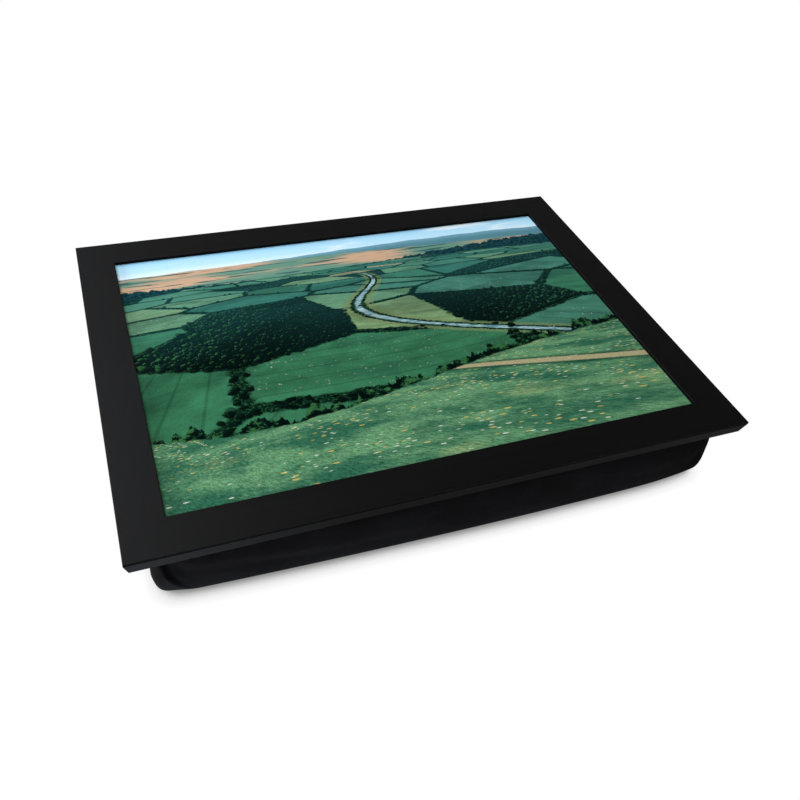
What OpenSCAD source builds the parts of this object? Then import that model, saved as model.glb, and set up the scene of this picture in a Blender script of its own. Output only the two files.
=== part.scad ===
// Lap tray: a mitred wooden frame round a laminated picture panel, standing on a bean cushion
// that hook and loop strips hold to the panel's underside. The origin is the middle of the
// cushion's base, +X runs along the tray's long side and +Y away from the user.

/* [Picture panel] */
// Length of the picture sheet, an A3 landscape
picture_l = 420; // [320:1:480]
// Width of the picture sheet
picture_w = 297; // [230:1:360]
// Thickness of the laminated picture sheet
picture_t = 0.8; // [0.5:0.1:1.5]
// Thickness of the fibreboard under the picture
board_t = 6; // [4:0.5:9]

/* [Frame moulding] */
// Width of the moulding's flat top face
rail_w = 30; // [25:0.5:40]
// How far the moulding's lip laps over the picture's edge
rebate_lap = 6; // [4:0.5:8]
// Thickness of that lip, which is the depth of the picture below the frame's top
lip_t = 3; // [2:0.1:5]
// Gap between the panel's edge and the rebate's wall
panel_gap = 0.5; // [0.2:0.1:0.8]
// How far the outer face leans in from top to bottom
undercut = 2.5; // [0.5:0.5:5]
// Radius of the rounded edges of the top face
arris_r = 0.6; // [0.3:0.1:0.8]
// Height of the narrow strip between the top face and the quirk line
strip_h = 0.9; // [0.9:0.1:1.5]
// Width of the quirk line that runs round the outer face
quirk_w = 0.8; // [0.5:0.1:1.2]
// Depth of that quirk line
quirk_d = 0.8; // [0.4:0.1:1.2]
// Chamfer along the lower outer edge
chamfer = 0.8; // [0.4:0.1:1.5]

/* [Corner V-nails] */
// Length of each leg of a V-nail
nail_leg = 5; // [4:0.5:6]
// Height of a V-nail
nail_h = 7; // [5:0.5:7.5]
// Thickness of the steel
nail_t = 0.5; // [0.4:0.1:0.8]
// Angle between a leg and the mitre
nail_angle = 50; // [35:5:60]
// Distance of the outer V-nail's point from the frame's edge, square to the edge
nail_first = 9.5; // [9:0.5:11]
// Distance of the inner V-nail's point from the frame's edge, square to the edge
nail_second = 18; // [16:0.5:20]
// Gap round a V-nail or a board point in the wood
steel_gap = 0.05; // [0.03:0.01:0.1]

/* [Board points] */
// Number of points along each long rail
points_long = 4; // [2:1:6]
// Number of points along each short rail
points_short = 3; // [2:1:4]
// Length of a point
point_l = 15; // [12:0.5:18]
// Width of a point
point_w = 5; // [4:0.5:8]
// Thickness of a point
point_t = 0.6; // [0.4:0.1:0.8]
// How deep a point is driven into the wood
point_bite = 7; // [5:0.5:9]
// Length of a point's sharp end
point_tip = 3; // [2:0.5:4]
// Distance of the outermost points from the end of the picture
point_edge = 55; // [40:1:70]

/* [Hook and loop strips] */
// Length of a hook strip
strip_l = 110; // [60:1:130]
// Width of a hook strip
strip_w = 25; // [16:1:40]
// Corner radius of a strip
strip_r = 3; // [1:0.5:6]
// Thickness of the hook strip
hook_t = 1.4; // [0.8:0.1:2]
// Thickness of the loop strip
loop_t = 1.8; // [0.8:0.1:2.5]
// How far the loop strip reaches past the hook strip all round
loop_margin = 2; // [0:0.5:4]
// Distance of the hook strips from the picture's edges
strip_edge = 30; // [22:1:40]

/* [Cushion] */
// Height of the cushion under the frame
cushion_h = 57; // [40:1:80]
// How far the cushion's ends stand in from the frame's short sides, at the corners
inset_ends = 12; // [8:0.5:16]
// How far the cushion stands in from the frame's long sides, at the corners
inset_sides = 7.5; // [6:0.5:14]
// How far the long sides belly out between the corners
bow_long = 3.5; // [0:0.5:6]
// How far the short sides belly out between the corners
bow_short = 3; // [0:0.5:5]
// Radius of the cushion's upright corners in plan
corner_r = 8; // [6:1:30]
// Height at which the cushion is widest
widest_z = 32; // [24:1:38]
// How far the seam is drawn in from the widest part
seam_inset = 6; // [1:0.5:8]
// How far the base's flat stands in from the widest part
base_inset = 16; // [10:1:40]
// Squareness of the edge between side and base
edge_power = 2.7; // [2:0.1:4]
// Depth of the dart sewn down each corner
dart_d = 1.2; // [0:0.1:2.5]
// Thickness of the cover's cloth
cloth_t = 1.2; // [0.8:0.1:2]
// Gap between the cover and the bead filling
fill_gap = 0.2; // [0.1:0.05:0.4]

/* [Hidden] */
$fn = 48;
// Overrun of every cutting shape past the face that it cuts
overrun = 1;

// Sizes of the frame that follow from the panel that it holds
frame_l = picture_l + 2 * (panel_gap + rail_w - rebate_lap);
frame_w = picture_w + 2 * (panel_gap + rail_w - rebate_lap);
rail_h = lip_t + picture_t + board_t + hook_t + loop_t;
rebate_x = rail_w - rebate_lap;
rebate_h = rail_h - lip_t;
band_top = rail_h - strip_h - quirk_w;

// Heights above the surface that the tray stands on
rail_z = cushion_h;
hook_z = rail_z + loop_t;
board_z = hook_z + hook_t;
picture_z = board_z + board_t;
rim_z = cushion_h - cloth_t;

// Middle of the strips in the front right quarter
strip_x = picture_l / 2 - strip_edge - strip_l / 2;
strip_y = picture_w / 2 - strip_edge - strip_w / 2;

// Half the cushion's plan at its corners, and the counts of points in its rings
cushion_x = frame_l / 2 - inset_ends;
cushion_y = frame_w / 2 - inset_sides;
long_steps = 10;
short_steps = 8;
corner_steps = 6;
ring_points = 2 * (long_steps + short_steps + 2 * corner_steps);
upper_rings = 3;
lower_rings = 6;
ring_count = upper_rings + lower_rings + 1;

// Frame rails

// The sharp corner that a round of radius r takes off, with the corner at the origin
module arris_waste(r) {
    difference() {
        translate([-overrun, -r]) square([r + overrun, r + overrun]);
        translate([r, -r]) circle(r);
    }
}

// Section of the moulding: x runs inwards from the outer edge, y up from the underside
module rail_profile() {
    difference() {
        polygon([
            [undercut + chamfer, 0],
            [rebate_x, 0],
            [rebate_x, rebate_h],
            [rail_w, rebate_h],
            [rail_w, rail_h],
            [0, rail_h],
            [0, band_top],
            [undercut, chamfer]
        ]);
        translate([-overrun, band_top]) square([quirk_d + overrun, quirk_w]);
        translate([0, rail_h]) arris_waste(arris_r);
        translate([rail_w, rail_h]) mirror([1, 0]) arris_waste(arris_r);
    }
}

// A rail of the given run, lying along the front of a frame that is across wide, mitred at both ends
module mitred_rail(run, across) {
    reach = rail_w + overrun;
    intersection() {
        translate([-run / 2, -across / 2, rail_z])
            rotate([90, 0, 90])
                linear_extrude(run) rail_profile();
        translate([0, -across / 2, rail_z - overrun])
            linear_extrude(rail_h + 2 * overrun)
                polygon([
                    [-run / 2, 0],
                    [run / 2, 0],
                    [run / 2 - reach, reach],
                    [-run / 2 + reach, reach]
                ]);
    }
}

module rail(run, across, turn) {
    color([0.11, 0.11, 0.12])
        difference() {
            rotate([0, 0, turn]) mitred_rail(run, across);
            v_nail_set(steel_gap);
            board_point_set(steel_gap);
        }
}

// Steel fixings

// One V-nail with its point at the origin and the mitre along x, grown by the gap for its slot
module v_nail(gap) {
    translate([0, 0, -overrun * sign(gap)])
        linear_extrude(nail_h + gap + overrun * sign(gap))
            for (side = [-1, 1])
                rotate(180 + side * nail_angle)
                    translate([-nail_t / 2 - gap, -nail_t / 2 - gap])
                        square([nail_leg + 2 * gap, nail_t + 2 * gap]);
}

// Two V-nails at each corner, driven up from the underside across the mitre
module v_nail_set(gap) {
    for (side_x = [-1, 1], side_y = [-1, 1], inward = [nail_first, nail_second])
        translate([side_x * (frame_l / 2 - inward), side_y * (frame_w / 2 - inward), rail_z])
            rotate(atan2(-side_y, -side_x)) v_nail(gap);
}

// One board point: it is driven into the rebate's wall along -y and lies under the board
module board_point(gap) {
    half = point_w / 2 + gap;
    translate([0, 0, board_z - point_t - gap])
        linear_extrude(point_t + 2 * gap)
            polygon([
                [-half, point_l - point_bite + gap],
                [-half, point_tip - point_bite],
                [0, -point_bite - gap],
                [half, point_tip - point_bite],
                [half, point_l - point_bite + gap]
            ]);
}

// A row of points along the front rebate wall of a frame
module board_point_row(count, run, across, gap) {
    pitch = (run - 2 * point_edge) / (count - 1);
    for (i = [0:count - 1])
        translate([point_edge - run / 2 + i * pitch, rebate_x - across / 2, 0]) board_point(gap);
}

module board_point_set(gap) {
    for (turn = [0, 180])
        rotate(turn) board_point_row(points_long, picture_l, frame_w, gap);
    for (turn = [90, 270])
        rotate(turn) board_point_row(points_short, picture_w, frame_l, gap);
}

module corner_v_nails() {
    color([0.72, 0.73, 0.75]) v_nail_set(0);
}

module board_points() {
    color([0.72, 0.73, 0.75]) board_point_set(0);
}

// Panel

module sheet(thickness, z) {
    translate([-picture_l / 2, -picture_w / 2, z]) cube([picture_l, picture_w, thickness]);
}

module picture_laminate() {
    color([0.28, 0.47, 0.36]) sheet(picture_t, picture_z);
}

module base_board() {
    color([0.55, 0.42, 0.29]) sheet(board_t, board_z);
}

// Hook and loop strips

module rounded_plate(length, width, radius, thickness) {
    linear_extrude(thickness) {
        square([length, width - 2 * radius], center = true);
        square([length - 2 * radius, width], center = true);
        for (side_x = [-1, 1], side_y = [-1, 1])
            translate([side_x * (length / 2 - radius), side_y * (width / 2 - radius)]) circle(radius);
    }
}

module hook_strip(side_x, side_y) {
    color([0.08, 0.08, 0.08])
        translate([side_x * strip_x, side_y * strip_y, hook_z])
            rounded_plate(strip_l, strip_w, strip_r, hook_t);
}

module loop_strip(side_x, side_y) {
    color([0.13, 0.13, 0.14])
        translate([side_x * strip_x, side_y * strip_y, rail_z])
            rounded_plate(strip_l + 2 * loop_margin, strip_w + 2 * loop_margin, strip_r + loop_margin, loop_t);
}

// Cushion

// How far a side bellies out at a share of the way from its middle to its ends
function belly(share, bow) = bow * (1 - share * share);

// Half of the cushion's outline, front side to right side, for half sizes x and y at the corners
function half_outline(x, y, r, dart) = concat(
    [for (i = [0:long_steps - 1])
        let (share = 2 * i / long_steps - 1)
        [share * (x - r), -y - belly(share, bow_long)]],
    [for (i = [0:corner_steps - 1])
        let (angle = 90 * i / corner_steps - 90, reach = i * 2 == corner_steps ? r - dart : r)
        [x - r + reach * cos(angle), r - y + reach * sin(angle)]],
    [for (i = [0:short_steps - 1])
        let (share = 2 * i / short_steps - 1)
        [x + belly(share, bow_short), share * (y - r)]],
    [for (i = [0:corner_steps - 1])
        let (angle = 90 * i / corner_steps, reach = i * 2 == corner_steps ? r - dart : r)
        [x - r + reach * cos(angle), y - r + reach * sin(angle)]]
);

// The whole outline at an inset from the widest part: its corners keep their radius as it draws in
function outline(inset, skin, dart) =
    let (half = half_outline(cushion_x - inset - skin, cushion_y - inset - skin, corner_r - skin, dart))
    concat(half, [for (p = half) -p]);

// Height and inset of a ring, counted from the seam down to the base, at a depth of skin inside the cover
function ring_z(k, skin) = k < upper_rings
    ? widest_z + (rim_z - widest_z) * cos(90 * k / upper_rings)
    : widest_z - (widest_z - skin) * pow(sin(90 * (k - upper_rings) / lower_rings), 2 / edge_power);
function ring_inset(k) = k < upper_rings
    ? seam_inset * (1 - sin(90 * k / upper_rings))
    : base_inset * (1 - pow(cos(90 * (k - upper_rings) / lower_rings), 2 / edge_power));

// The dart is deepest half way down the side and runs out at the seam and the base
function ring_dart(k) = dart_d * sin(180 * k / (ring_count - 1));

// All points of the rings at a depth of skin, with the middle of the base as the last point
function skin_points(skin, top_drop) = concat(
    [for (k = [0:ring_count - 1], p = outline(ring_inset(k), skin, ring_dart(k)))
        [p.x, p.y, ring_z(k, skin) - (k == 0 ? top_drop : 0)]],
    [[0, 0, skin]]
);

// Triangles of the side and base of the rings that start at point first, facing out or in
function turned(face, inwards) = inwards ? [face[0], face[2], face[1]] : face;
function skin_faces(first, inwards) = concat(
    [for (k = [0:ring_count - 2], i = [0:ring_points - 1], lower = [false, true])
        let (next = (i + 1) % ring_points, top = first + k * ring_points, low = top + ring_points)
        turned(lower ? [top + i, low + next, low + i] : [top + i, top + next, low + next], inwards)],
    [for (i = [0:ring_points - 1])
        let (last = first + (ring_count - 1) * ring_points)
        turned([last + ring_points, last + i, last + (i + 1) % ring_points], inwards)]
);

module cushion_lower_cover() {
    inner = ring_count * ring_points + 1;
    color([0.09, 0.09, 0.1])
        polyhedron(
            points = concat(skin_points(0, 0), skin_points(cloth_t, 0)),
            faces = concat(
                skin_faces(0, false),
                skin_faces(inner, true),
                [for (i = [0:ring_points - 1], lower = [false, true])
                    let (next = (i + 1) % ring_points)
                    lower ? [next, inner + i, inner + next] : [next, i, inner + i]]
            )
        );
}

module cushion_top_panel() {
    color([0.1, 0.1, 0.11])
        translate([0, 0, rim_z])
            linear_extrude(cloth_t) polygon(outline(seam_inset, 0, 0));
}

module bead_filling() {
    skin = cloth_t + fill_gap;
    lid = ring_count * ring_points + 1;
    color([0.94, 0.94, 0.93])
        polyhedron(
            points = concat(skin_points(skin, fill_gap), [[0, 0, rim_z - fill_gap]]),
            faces = concat(
                skin_faces(0, false),
                [for (i = [0:ring_points - 1]) [lid, (i + 1) % ring_points, i]]
            )
        );
}

rail(frame_l, frame_w, 0);  // front_rail
rail(frame_l, frame_w, 180);  // back_rail
rail(frame_w, frame_l, 270);  // left_rail
rail(frame_w, frame_l, 90);  // right_rail
corner_v_nails();
board_points();
picture_laminate();
base_board();
hook_strip(-1, -1);  // hook_strip_front_left
hook_strip(1, -1);  // hook_strip_front_right
hook_strip(-1, 1);  // hook_strip_back_left
hook_strip(1, 1);  // hook_strip_back_right
loop_strip(-1, -1);  // loop_strip_front_left
loop_strip(1, -1);  // loop_strip_front_right
loop_strip(-1, 1);  // loop_strip_back_left
loop_strip(1, 1);  // loop_strip_back_right
cushion_top_panel();
cushion_lower_cover();
bead_filling();
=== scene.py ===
import math

import bpy
import numpy as np
from mathutils import Matrix, Vector, noise


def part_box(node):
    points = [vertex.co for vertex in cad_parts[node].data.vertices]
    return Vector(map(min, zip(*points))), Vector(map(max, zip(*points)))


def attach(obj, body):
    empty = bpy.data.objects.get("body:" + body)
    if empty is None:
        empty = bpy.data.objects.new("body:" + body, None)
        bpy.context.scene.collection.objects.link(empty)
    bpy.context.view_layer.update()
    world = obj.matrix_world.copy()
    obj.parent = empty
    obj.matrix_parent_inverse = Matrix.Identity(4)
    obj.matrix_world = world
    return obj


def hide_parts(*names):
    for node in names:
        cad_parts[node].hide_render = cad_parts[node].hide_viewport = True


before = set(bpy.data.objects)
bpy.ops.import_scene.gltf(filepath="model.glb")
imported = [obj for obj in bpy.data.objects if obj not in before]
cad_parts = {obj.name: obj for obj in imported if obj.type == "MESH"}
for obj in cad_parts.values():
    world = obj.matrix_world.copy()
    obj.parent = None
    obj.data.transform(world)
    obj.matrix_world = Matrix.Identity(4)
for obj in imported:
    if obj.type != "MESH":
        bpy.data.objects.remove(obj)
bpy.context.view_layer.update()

# Sizes are in metres, and this is one millimetre
MM = 0.001

# Camera: its place, the way that it looks in degrees, its lens in millimetres, and the shift of the picture
CAMERA_PLACE = (-0.2135, -0.4692, 0.4832)
CAMERA_YAW = 24.537
CAMERA_PITCH = -43.692
CAMERA_ROLL = 6.982
CAMERA_LENS = 35.685
CAMERA_SHIFT = (0.02205, -0.0027)

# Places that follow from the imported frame
FRAME_HIGH = Vector((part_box("right_rail")[1].x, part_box("back_rail")[1].y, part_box("back_rail")[1].z))
RAIL_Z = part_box("front_rail")[0].z
PRINT_LOW, PRINT_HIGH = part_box("picture_laminate")
PRINT_W = PRINT_HIGH.y - PRINT_LOW.y
LOOP_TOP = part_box("loop_strip_front_left")[1].z

CORNERS = ("front_left", "front_right", "back_left", "back_right")


# Meshes

def new_piece(name, points, faces, material, smooth=True):
    """An object with this mesh and material."""
    mesh = bpy.data.meshes.new(name)
    mesh.from_pydata([tuple(map(float, p)) for p in points], [], [tuple(map(int, f)) for f in faces])
    mesh.polygons.foreach_set("use_smooth", [smooth] * len(mesh.polygons))
    mesh.materials.append(material)
    mesh.update()
    piece = bpy.data.objects.new(name, mesh)
    bpy.context.scene.collection.objects.link(piece)
    return piece


def coordinates(mesh, kind="co"):
    """The places of a mesh's vertices, or another of their vectors."""
    values = np.zeros(len(mesh.vertices) * 3, np.float32)
    mesh.vertices.foreach_get(kind, values)
    return values.reshape(-1, 3).astype(float)


def set_coordinates(mesh, places):
    """Moves a mesh's vertices to these places."""
    mesh.vertices.foreach_set("co", places.astype(np.float32).ravel())
    mesh.update()


def subdivide(piece):
    """Smooths the piece's mesh by subdivision."""
    piece.modifiers.new("subdivision", "SUBSURF").levels = 1
    depsgraph = bpy.context.evaluated_depsgraph_get()
    mesh = bpy.data.meshes.new_from_object(piece.evaluated_get(depsgraph))
    piece.modifiers.clear()
    piece.data = mesh


def arc(x, y, radius, start, turn, steps, whole=False):
    """Points along an arc round a middle, its angles in degrees; only a whole one has its last point."""
    angles = [math.radians(start + turn * i / steps) for i in range(steps + whole)]
    return [(x + radius * math.cos(angle), y + radius * math.sin(angle)) for angle in angles]


def ripple(places, size, seed=0):
    """Smooth noise from -1 to 1 at each place, with lumps of the given size."""
    shift = Vector((seed * 3.17, seed * 1.73, seed * 0.91))
    return np.array([noise.noise(Vector(p) / size + shift) for p in places])


def smooth_step(value, low, high):
    """0 below low, 1 above high and smooth between them, for arrays."""
    share = np.clip((value - low) / (high - low), 0, 1)
    return share * share * (3 - 2 * share)


# Node trees

# How far one seed shifts a noise
SEED_SHIFT = 7.31


def rgb(red, green, blue):
    """A colour given in 0 to 255 display values, as the linear numbers that nodes take."""
    def linear(value):
        share = value / 255
        return share / 12.92 if share <= 0.04045 else ((share + 0.055) / 1.055) ** 2.4
    return (linear(red), linear(green), linear(blue), 1.0)


class Val:
    """A node's output, on which plain arithmetic makes Math nodes."""

    def __init__(self, ink, socket):
        self.ink = ink
        self.socket = socket

    def math(self, operation, *others):
        return self.ink.made("ShaderNodeMath", (self, *others), operation=operation)

    def __add__(self, other):
        return self.math("ADD", other)

    def __mul__(self, other):
        return self.math("MULTIPLY", other)

    def __sub__(self, other):
        return self.math("SUBTRACT", other)

    def __rsub__(self, other):
        return (self * -1) + other

    def __truediv__(self, other):
        return self.math("DIVIDE", other)

    __radd__ = __add__

    def inverse(self):
        return self.math("POWER", -1.0)

    def sin(self):
        return self.math("SINE")

    def cos(self):
        return self.math("COSINE")

    def abs(self):
        return self.math("ABSOLUTE")

    def log(self):
        return self.math("LOGARITHM", math.e)

    def exp(self):
        return self.math("EXPONENT")

    def root(self):
        return self.math("SQRT")

    def angle_from(self, other):
        return self.math("ARCTAN2", other)

    def least(self, other):
        return self.math("MINIMUM", other)

    def most(self, other):
        return self.math("MAXIMUM", other)

    def step(self, low, high):
        """0 below low, 1 above high and smooth between them."""
        values = (self, low, high, 0.0, 1.0)
        return self.ink.made("ShaderNodeMapRange", values, interpolation_type="SMOOTHSTEP")


class Ink:
    """Writes one material's node tree."""

    def __init__(self, name):
        self.material = bpy.data.materials.new(name)
        self.material.use_nodes = True
        self.tree = self.material.node_tree
        self.tree.nodes.clear()

    def node(self, kind, **settings):
        """A new node with these settings."""
        node = self.tree.nodes.new(kind)
        for key, value in settings.items():
            setattr(node, key, value)
        return node

    def feed(self, socket, value):
        """Gives an input a value, or links it to the output that has it."""
        if isinstance(value, Val):
            self.tree.links.new(value.socket, socket)
        else:
            socket.default_value = value

    def made(self, kind, inputs=(), output=0, **settings):
        """An output of a new node, whose inputs are given in order, or by name or number."""
        node = self.node(kind, **settings)
        for key, value in inputs.items() if isinstance(inputs, dict) else enumerate(inputs):
            self.feed(node.inputs[key], value)
        return Val(self, node.outputs[output])

    def split(self, vector):
        """A vector's three parts."""
        node = self.node("ShaderNodeSeparateXYZ")
        self.feed(node.inputs[0], vector)
        return [Val(self, socket) for socket in node.outputs]

    def fractal(self, dimensions, place, scale, detail, rough, twist=0.0):
        """Fractal noise at a place that is given by its coordinates."""
        vector = self.made("ShaderNodeCombineXYZ", place)
        inputs = {"Vector": vector, "Scale": scale, "Detail": detail, "Roughness": rough,
                  "Distortion": twist}
        return self.made("ShaderNodeTexNoise", inputs, noise_dimensions=dimensions)

    def noise(self, x, y, seed=0.0, scale=1.0, detail=2.0, rough=0.5):
        """Flat fractal noise; the seed shifts it to another place."""
        return self.fractal("2D", (x + seed * SEED_SHIFT, y), scale, detail, rough)

    def grain(self, place, scale, seed, detail, rough, twist=0.0):
        """Fractal noise in space; the scale is the number of lumps in a metre, or a number for each axis."""
        if not isinstance(scale, tuple):
            scale = (scale, scale, scale)
        x, y, z = (axis * number for axis, number in zip(place, scale))
        return self.fractal("3D", (x + seed * SEED_SHIFT, y, z), 1.0, detail, rough, twist)

    def voronoi(self, place, scale=1.0, dimensions="2D", feature="F1"):
        """The outputs of a Voronoi texture, by name."""
        node = self.node("ShaderNodeTexVoronoi", voronoi_dimensions=dimensions, feature=feature)
        self.feed(node.inputs["Vector"], self.made("ShaderNodeCombineXYZ", place))
        self.feed(node.inputs["Scale"], scale)
        return {socket.name: Val(self, socket) for socket in node.outputs}

    def cells(self, x, y):
        """Flat Voronoi cells: the distance to the cell's point, the point, and its three random numbers."""
        outputs = self.voronoi((x, y))
        return outputs["Distance"], self.split(outputs["Position"])[:2], self.split(outputs["Color"])

    def edges(self, x, y):
        """Distance to the nearest border between the same flat Voronoi cells."""
        return self.voronoi((x, y), feature="DISTANCE_TO_EDGE")["Distance"]

    def blend(self, under, over, share):
        """One colour covered by another, by a share from 0 to 1."""
        return self.made("ShaderNodeMix", {0: share, 6: under, 7: over}, 2, data_type="RGBA")

    def shade(self, colour, amount):
        """The colour times a number."""
        if isinstance(colour, tuple):
            colour = colour[:3]
        return self.made("ShaderNodeVectorMath", {0: colour, "Scale": amount}, operation="SCALE")

    def deepen(self, colour, power):
        """The colour with its dark parts made darker."""
        return self.made("ShaderNodeGamma", (colour, power))

    def tones(self, share, stops, steps=False):
        """A colour ramp; each stop is a place and a colour."""
        node = self.node("ShaderNodeValToRGB")
        ramp = node.color_ramp
        ramp.interpolation = "CONSTANT" if steps else "EASE"
        while len(ramp.elements) < len(stops):
            ramp.elements.new(0.5)
        for element, (place, colour) in zip(ramp.elements, stops):
            element.position = place
            element.color = colour
        self.feed(node.inputs[0], share)
        return Val(self, node.outputs[0])

    def here(self):
        """Coordinates of the place in the part's own frame."""
        return self.split(self.made("ShaderNodeTexCoord", output="Object"))

    def facing(self):
        """The surface's outward direction in the part's own frame."""
        return self.split(self.made("ShaderNodeTexCoord", output="Normal"))

    def bump(self, height, depth, strength, under=None):
        """A normal bent by a height from 0 to 1 that stands for a depth in metres."""
        inputs = {"Strength": strength, "Distance": depth, "Height": height}
        if under:
            inputs["Normal"] = under
        return self.made("ShaderNodeBump", inputs)

    def surface(self, colour, rough, normal, specular=0.5, metal=0.0, sheen=0.0):
        """Ends the tree with a surface of this look, and gives the material."""
        return self.ended(self.made("ShaderNodeBsdfPrincipled", {
            "Base Color": colour, "Roughness": rough, "Normal": normal,
            "Specular IOR Level": specular, "Metallic": metal, "Sheen Weight": sheen,
        }))

    def ended(self, shader):
        """Ends the tree with this shader, and gives the material."""
        self.feed(self.node("ShaderNodeOutputMaterial").inputs["Surface"], shader)
        return self.material


# The print

def level_ground(x, y, horizon):
    """Places on level ground that runs back to a horizon: across, and the depth."""
    depth = (horizon - y).most(0.012).inverse()
    return x * depth, depth


# Height of the horizon on the print, in shares of its height
HORIZON = 0.90
# How many fields one unit of level ground holds, and which of all possible fields are shown
FIELD_SIZE = 0.75
FIELD_SEED = 3.7
# Tones of the fields, by the random number from which each takes effect
FIELD_TONES = (
    (0.0, rgb(84, 134, 104)),
    (0.16, rgb(48, 108, 90)),
    (0.34, rgb(112, 152, 112)),
    (0.5, rgb(58, 116, 84)),
    (0.66, rgb(186, 170, 128)),
    (0.74, rgb(74, 128, 108)),
    (0.9, rgb(132, 160, 112)),
)


def bent(x, y):
    """Rolling ground: the height on the print at which level ground would show the same field."""
    return y + (x * 4.2 + 1.1).sin() * 0.016 + (x * 2.1 + y * 5.0).sin() * 0.012


def field_place(x, y):
    """Coordinates of a place on the print in the pattern of fields."""
    across, depth = level_ground(x, y, HORIZON)
    return across * FIELD_SIZE + FIELD_SEED, depth * FIELD_SIZE


def hedged_fields(ink, x, y):
    """Fields with dark hedges between them, each with its own tone and direction of rows: their paint, and
    where the hedges are."""
    a, d = field_place(x, y)
    _, _, (pick, turn, lift) = ink.cells(a, d)
    tone = ink.tones(pick, FIELD_TONES, steps=True)
    angle = turn * math.pi
    lane = (a * angle.cos() + d * angle.sin()) * 30.0
    near = (HORIZON - y).step(0.05, 0.35)
    tramline = 1 - (lane * 0.9).sin().abs().step(0.06, 0.22)
    tone = ink.shade(tone, 1 + (lane.sin() * 0.07 + (lift - 0.5) * 0.3 - tramline * 0.26) * near)
    mottle = ink.noise(a, d, 3.0, 5.0, 6.0, 0.7)
    tone = ink.shade(tone, mottle.step(0.2, 0.8) * 0.50 + 0.75)
    ragged = (ink.noise(a, d, 5.0, 16.0, 3.0) - 0.5) * 0.05
    raised_a, raised_d = field_place(x, y - (HORIZON - y) * 0.016)
    hedge = 1 - (ink.edges(a, d).least(ink.edges(raised_a, raised_d)) + ragged).step(0.022, 0.040)
    return tone, hedge


def in_wood(ink, x, y):
    """Whether a place lies in one of the fields that are woodland."""
    _, _, (_, _, lift) = ink.cells(*field_place(x, bent(x, y)))
    return (lift - 0.78).step(0.0, 0.01)


def in_pasture(ink, x, y):
    """Whether a place lies in one of the grazed fields, away from its hedges."""
    place = field_place(x, bent(x, y))
    _, _, (_, _, lift) = ink.cells(*place)
    return (0.42 - lift).step(0.0, 0.01) * (ink.edges(*place) - 0.05).step(0.0, 0.01)


def on_hedge(ink, x, y):
    """How near a place is to a hedge between two fields."""
    return 1 - ink.edges(*field_place(x, bent(x, y))).step(0.030, 0.045)


def canopy(ink, x, y, size, seed, share, rooted):
    """Round tree crowns that shrink towards the horizon: where they are, and how light they are.
    Their points spread round the vanishing point, and rooted says at which places a tree may stand."""
    drop = HORIZON - y
    away = (x * x + drop * drop).root()
    a = x.angle_from(drop) * size + seed
    d = away.log() * size
    _, (point_a, point_d), (pick, girth, _) = ink.cells(a, d)
    bearing = (point_a - seed) * (1 / size)
    reach = (point_d * (1 / size)).exp()
    root_x = reach * bearing.sin()
    root_drop = reach * bearing.cos()
    radius = root_drop * (girth * (0.58 / size) + 0.70 / size)
    right = (x - root_x) / radius
    up = (root_drop - drop) / radius - 0.75
    ragged = (ink.noise(a, d, seed, 9.0, 4.0, 0.7) - 0.5) * 0.9
    crown = (right * right + up * up).root() + ragged
    there = (pick - (1 - share)).step(0.0, 0.02) * (1 - crown.step(0.86, 1.0))
    lit = (up * 0.8 - right * 0.5 + ragged).step(-0.7, 1.1)
    return there * rooted(ink, root_x, HORIZON - root_drop), lit


# Tones of leaves in shade, in half light and in sunlight
LEAF_DARK = rgb(1, 15, 12)
LEAF_MID = rgb(12, 52, 38)
LEAF_LIGHT = rgb(58, 108, 64)


def foliage(ink, lit, grain):
    """Colour of leaves, from how well they are lit and from a grain that makes some light."""
    colour = ink.blend(LEAF_DARK, LEAF_MID, lit)
    return ink.blend(colour, LEAF_LIGHT, (lit * grain).step(0.30, 0.75))


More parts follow.
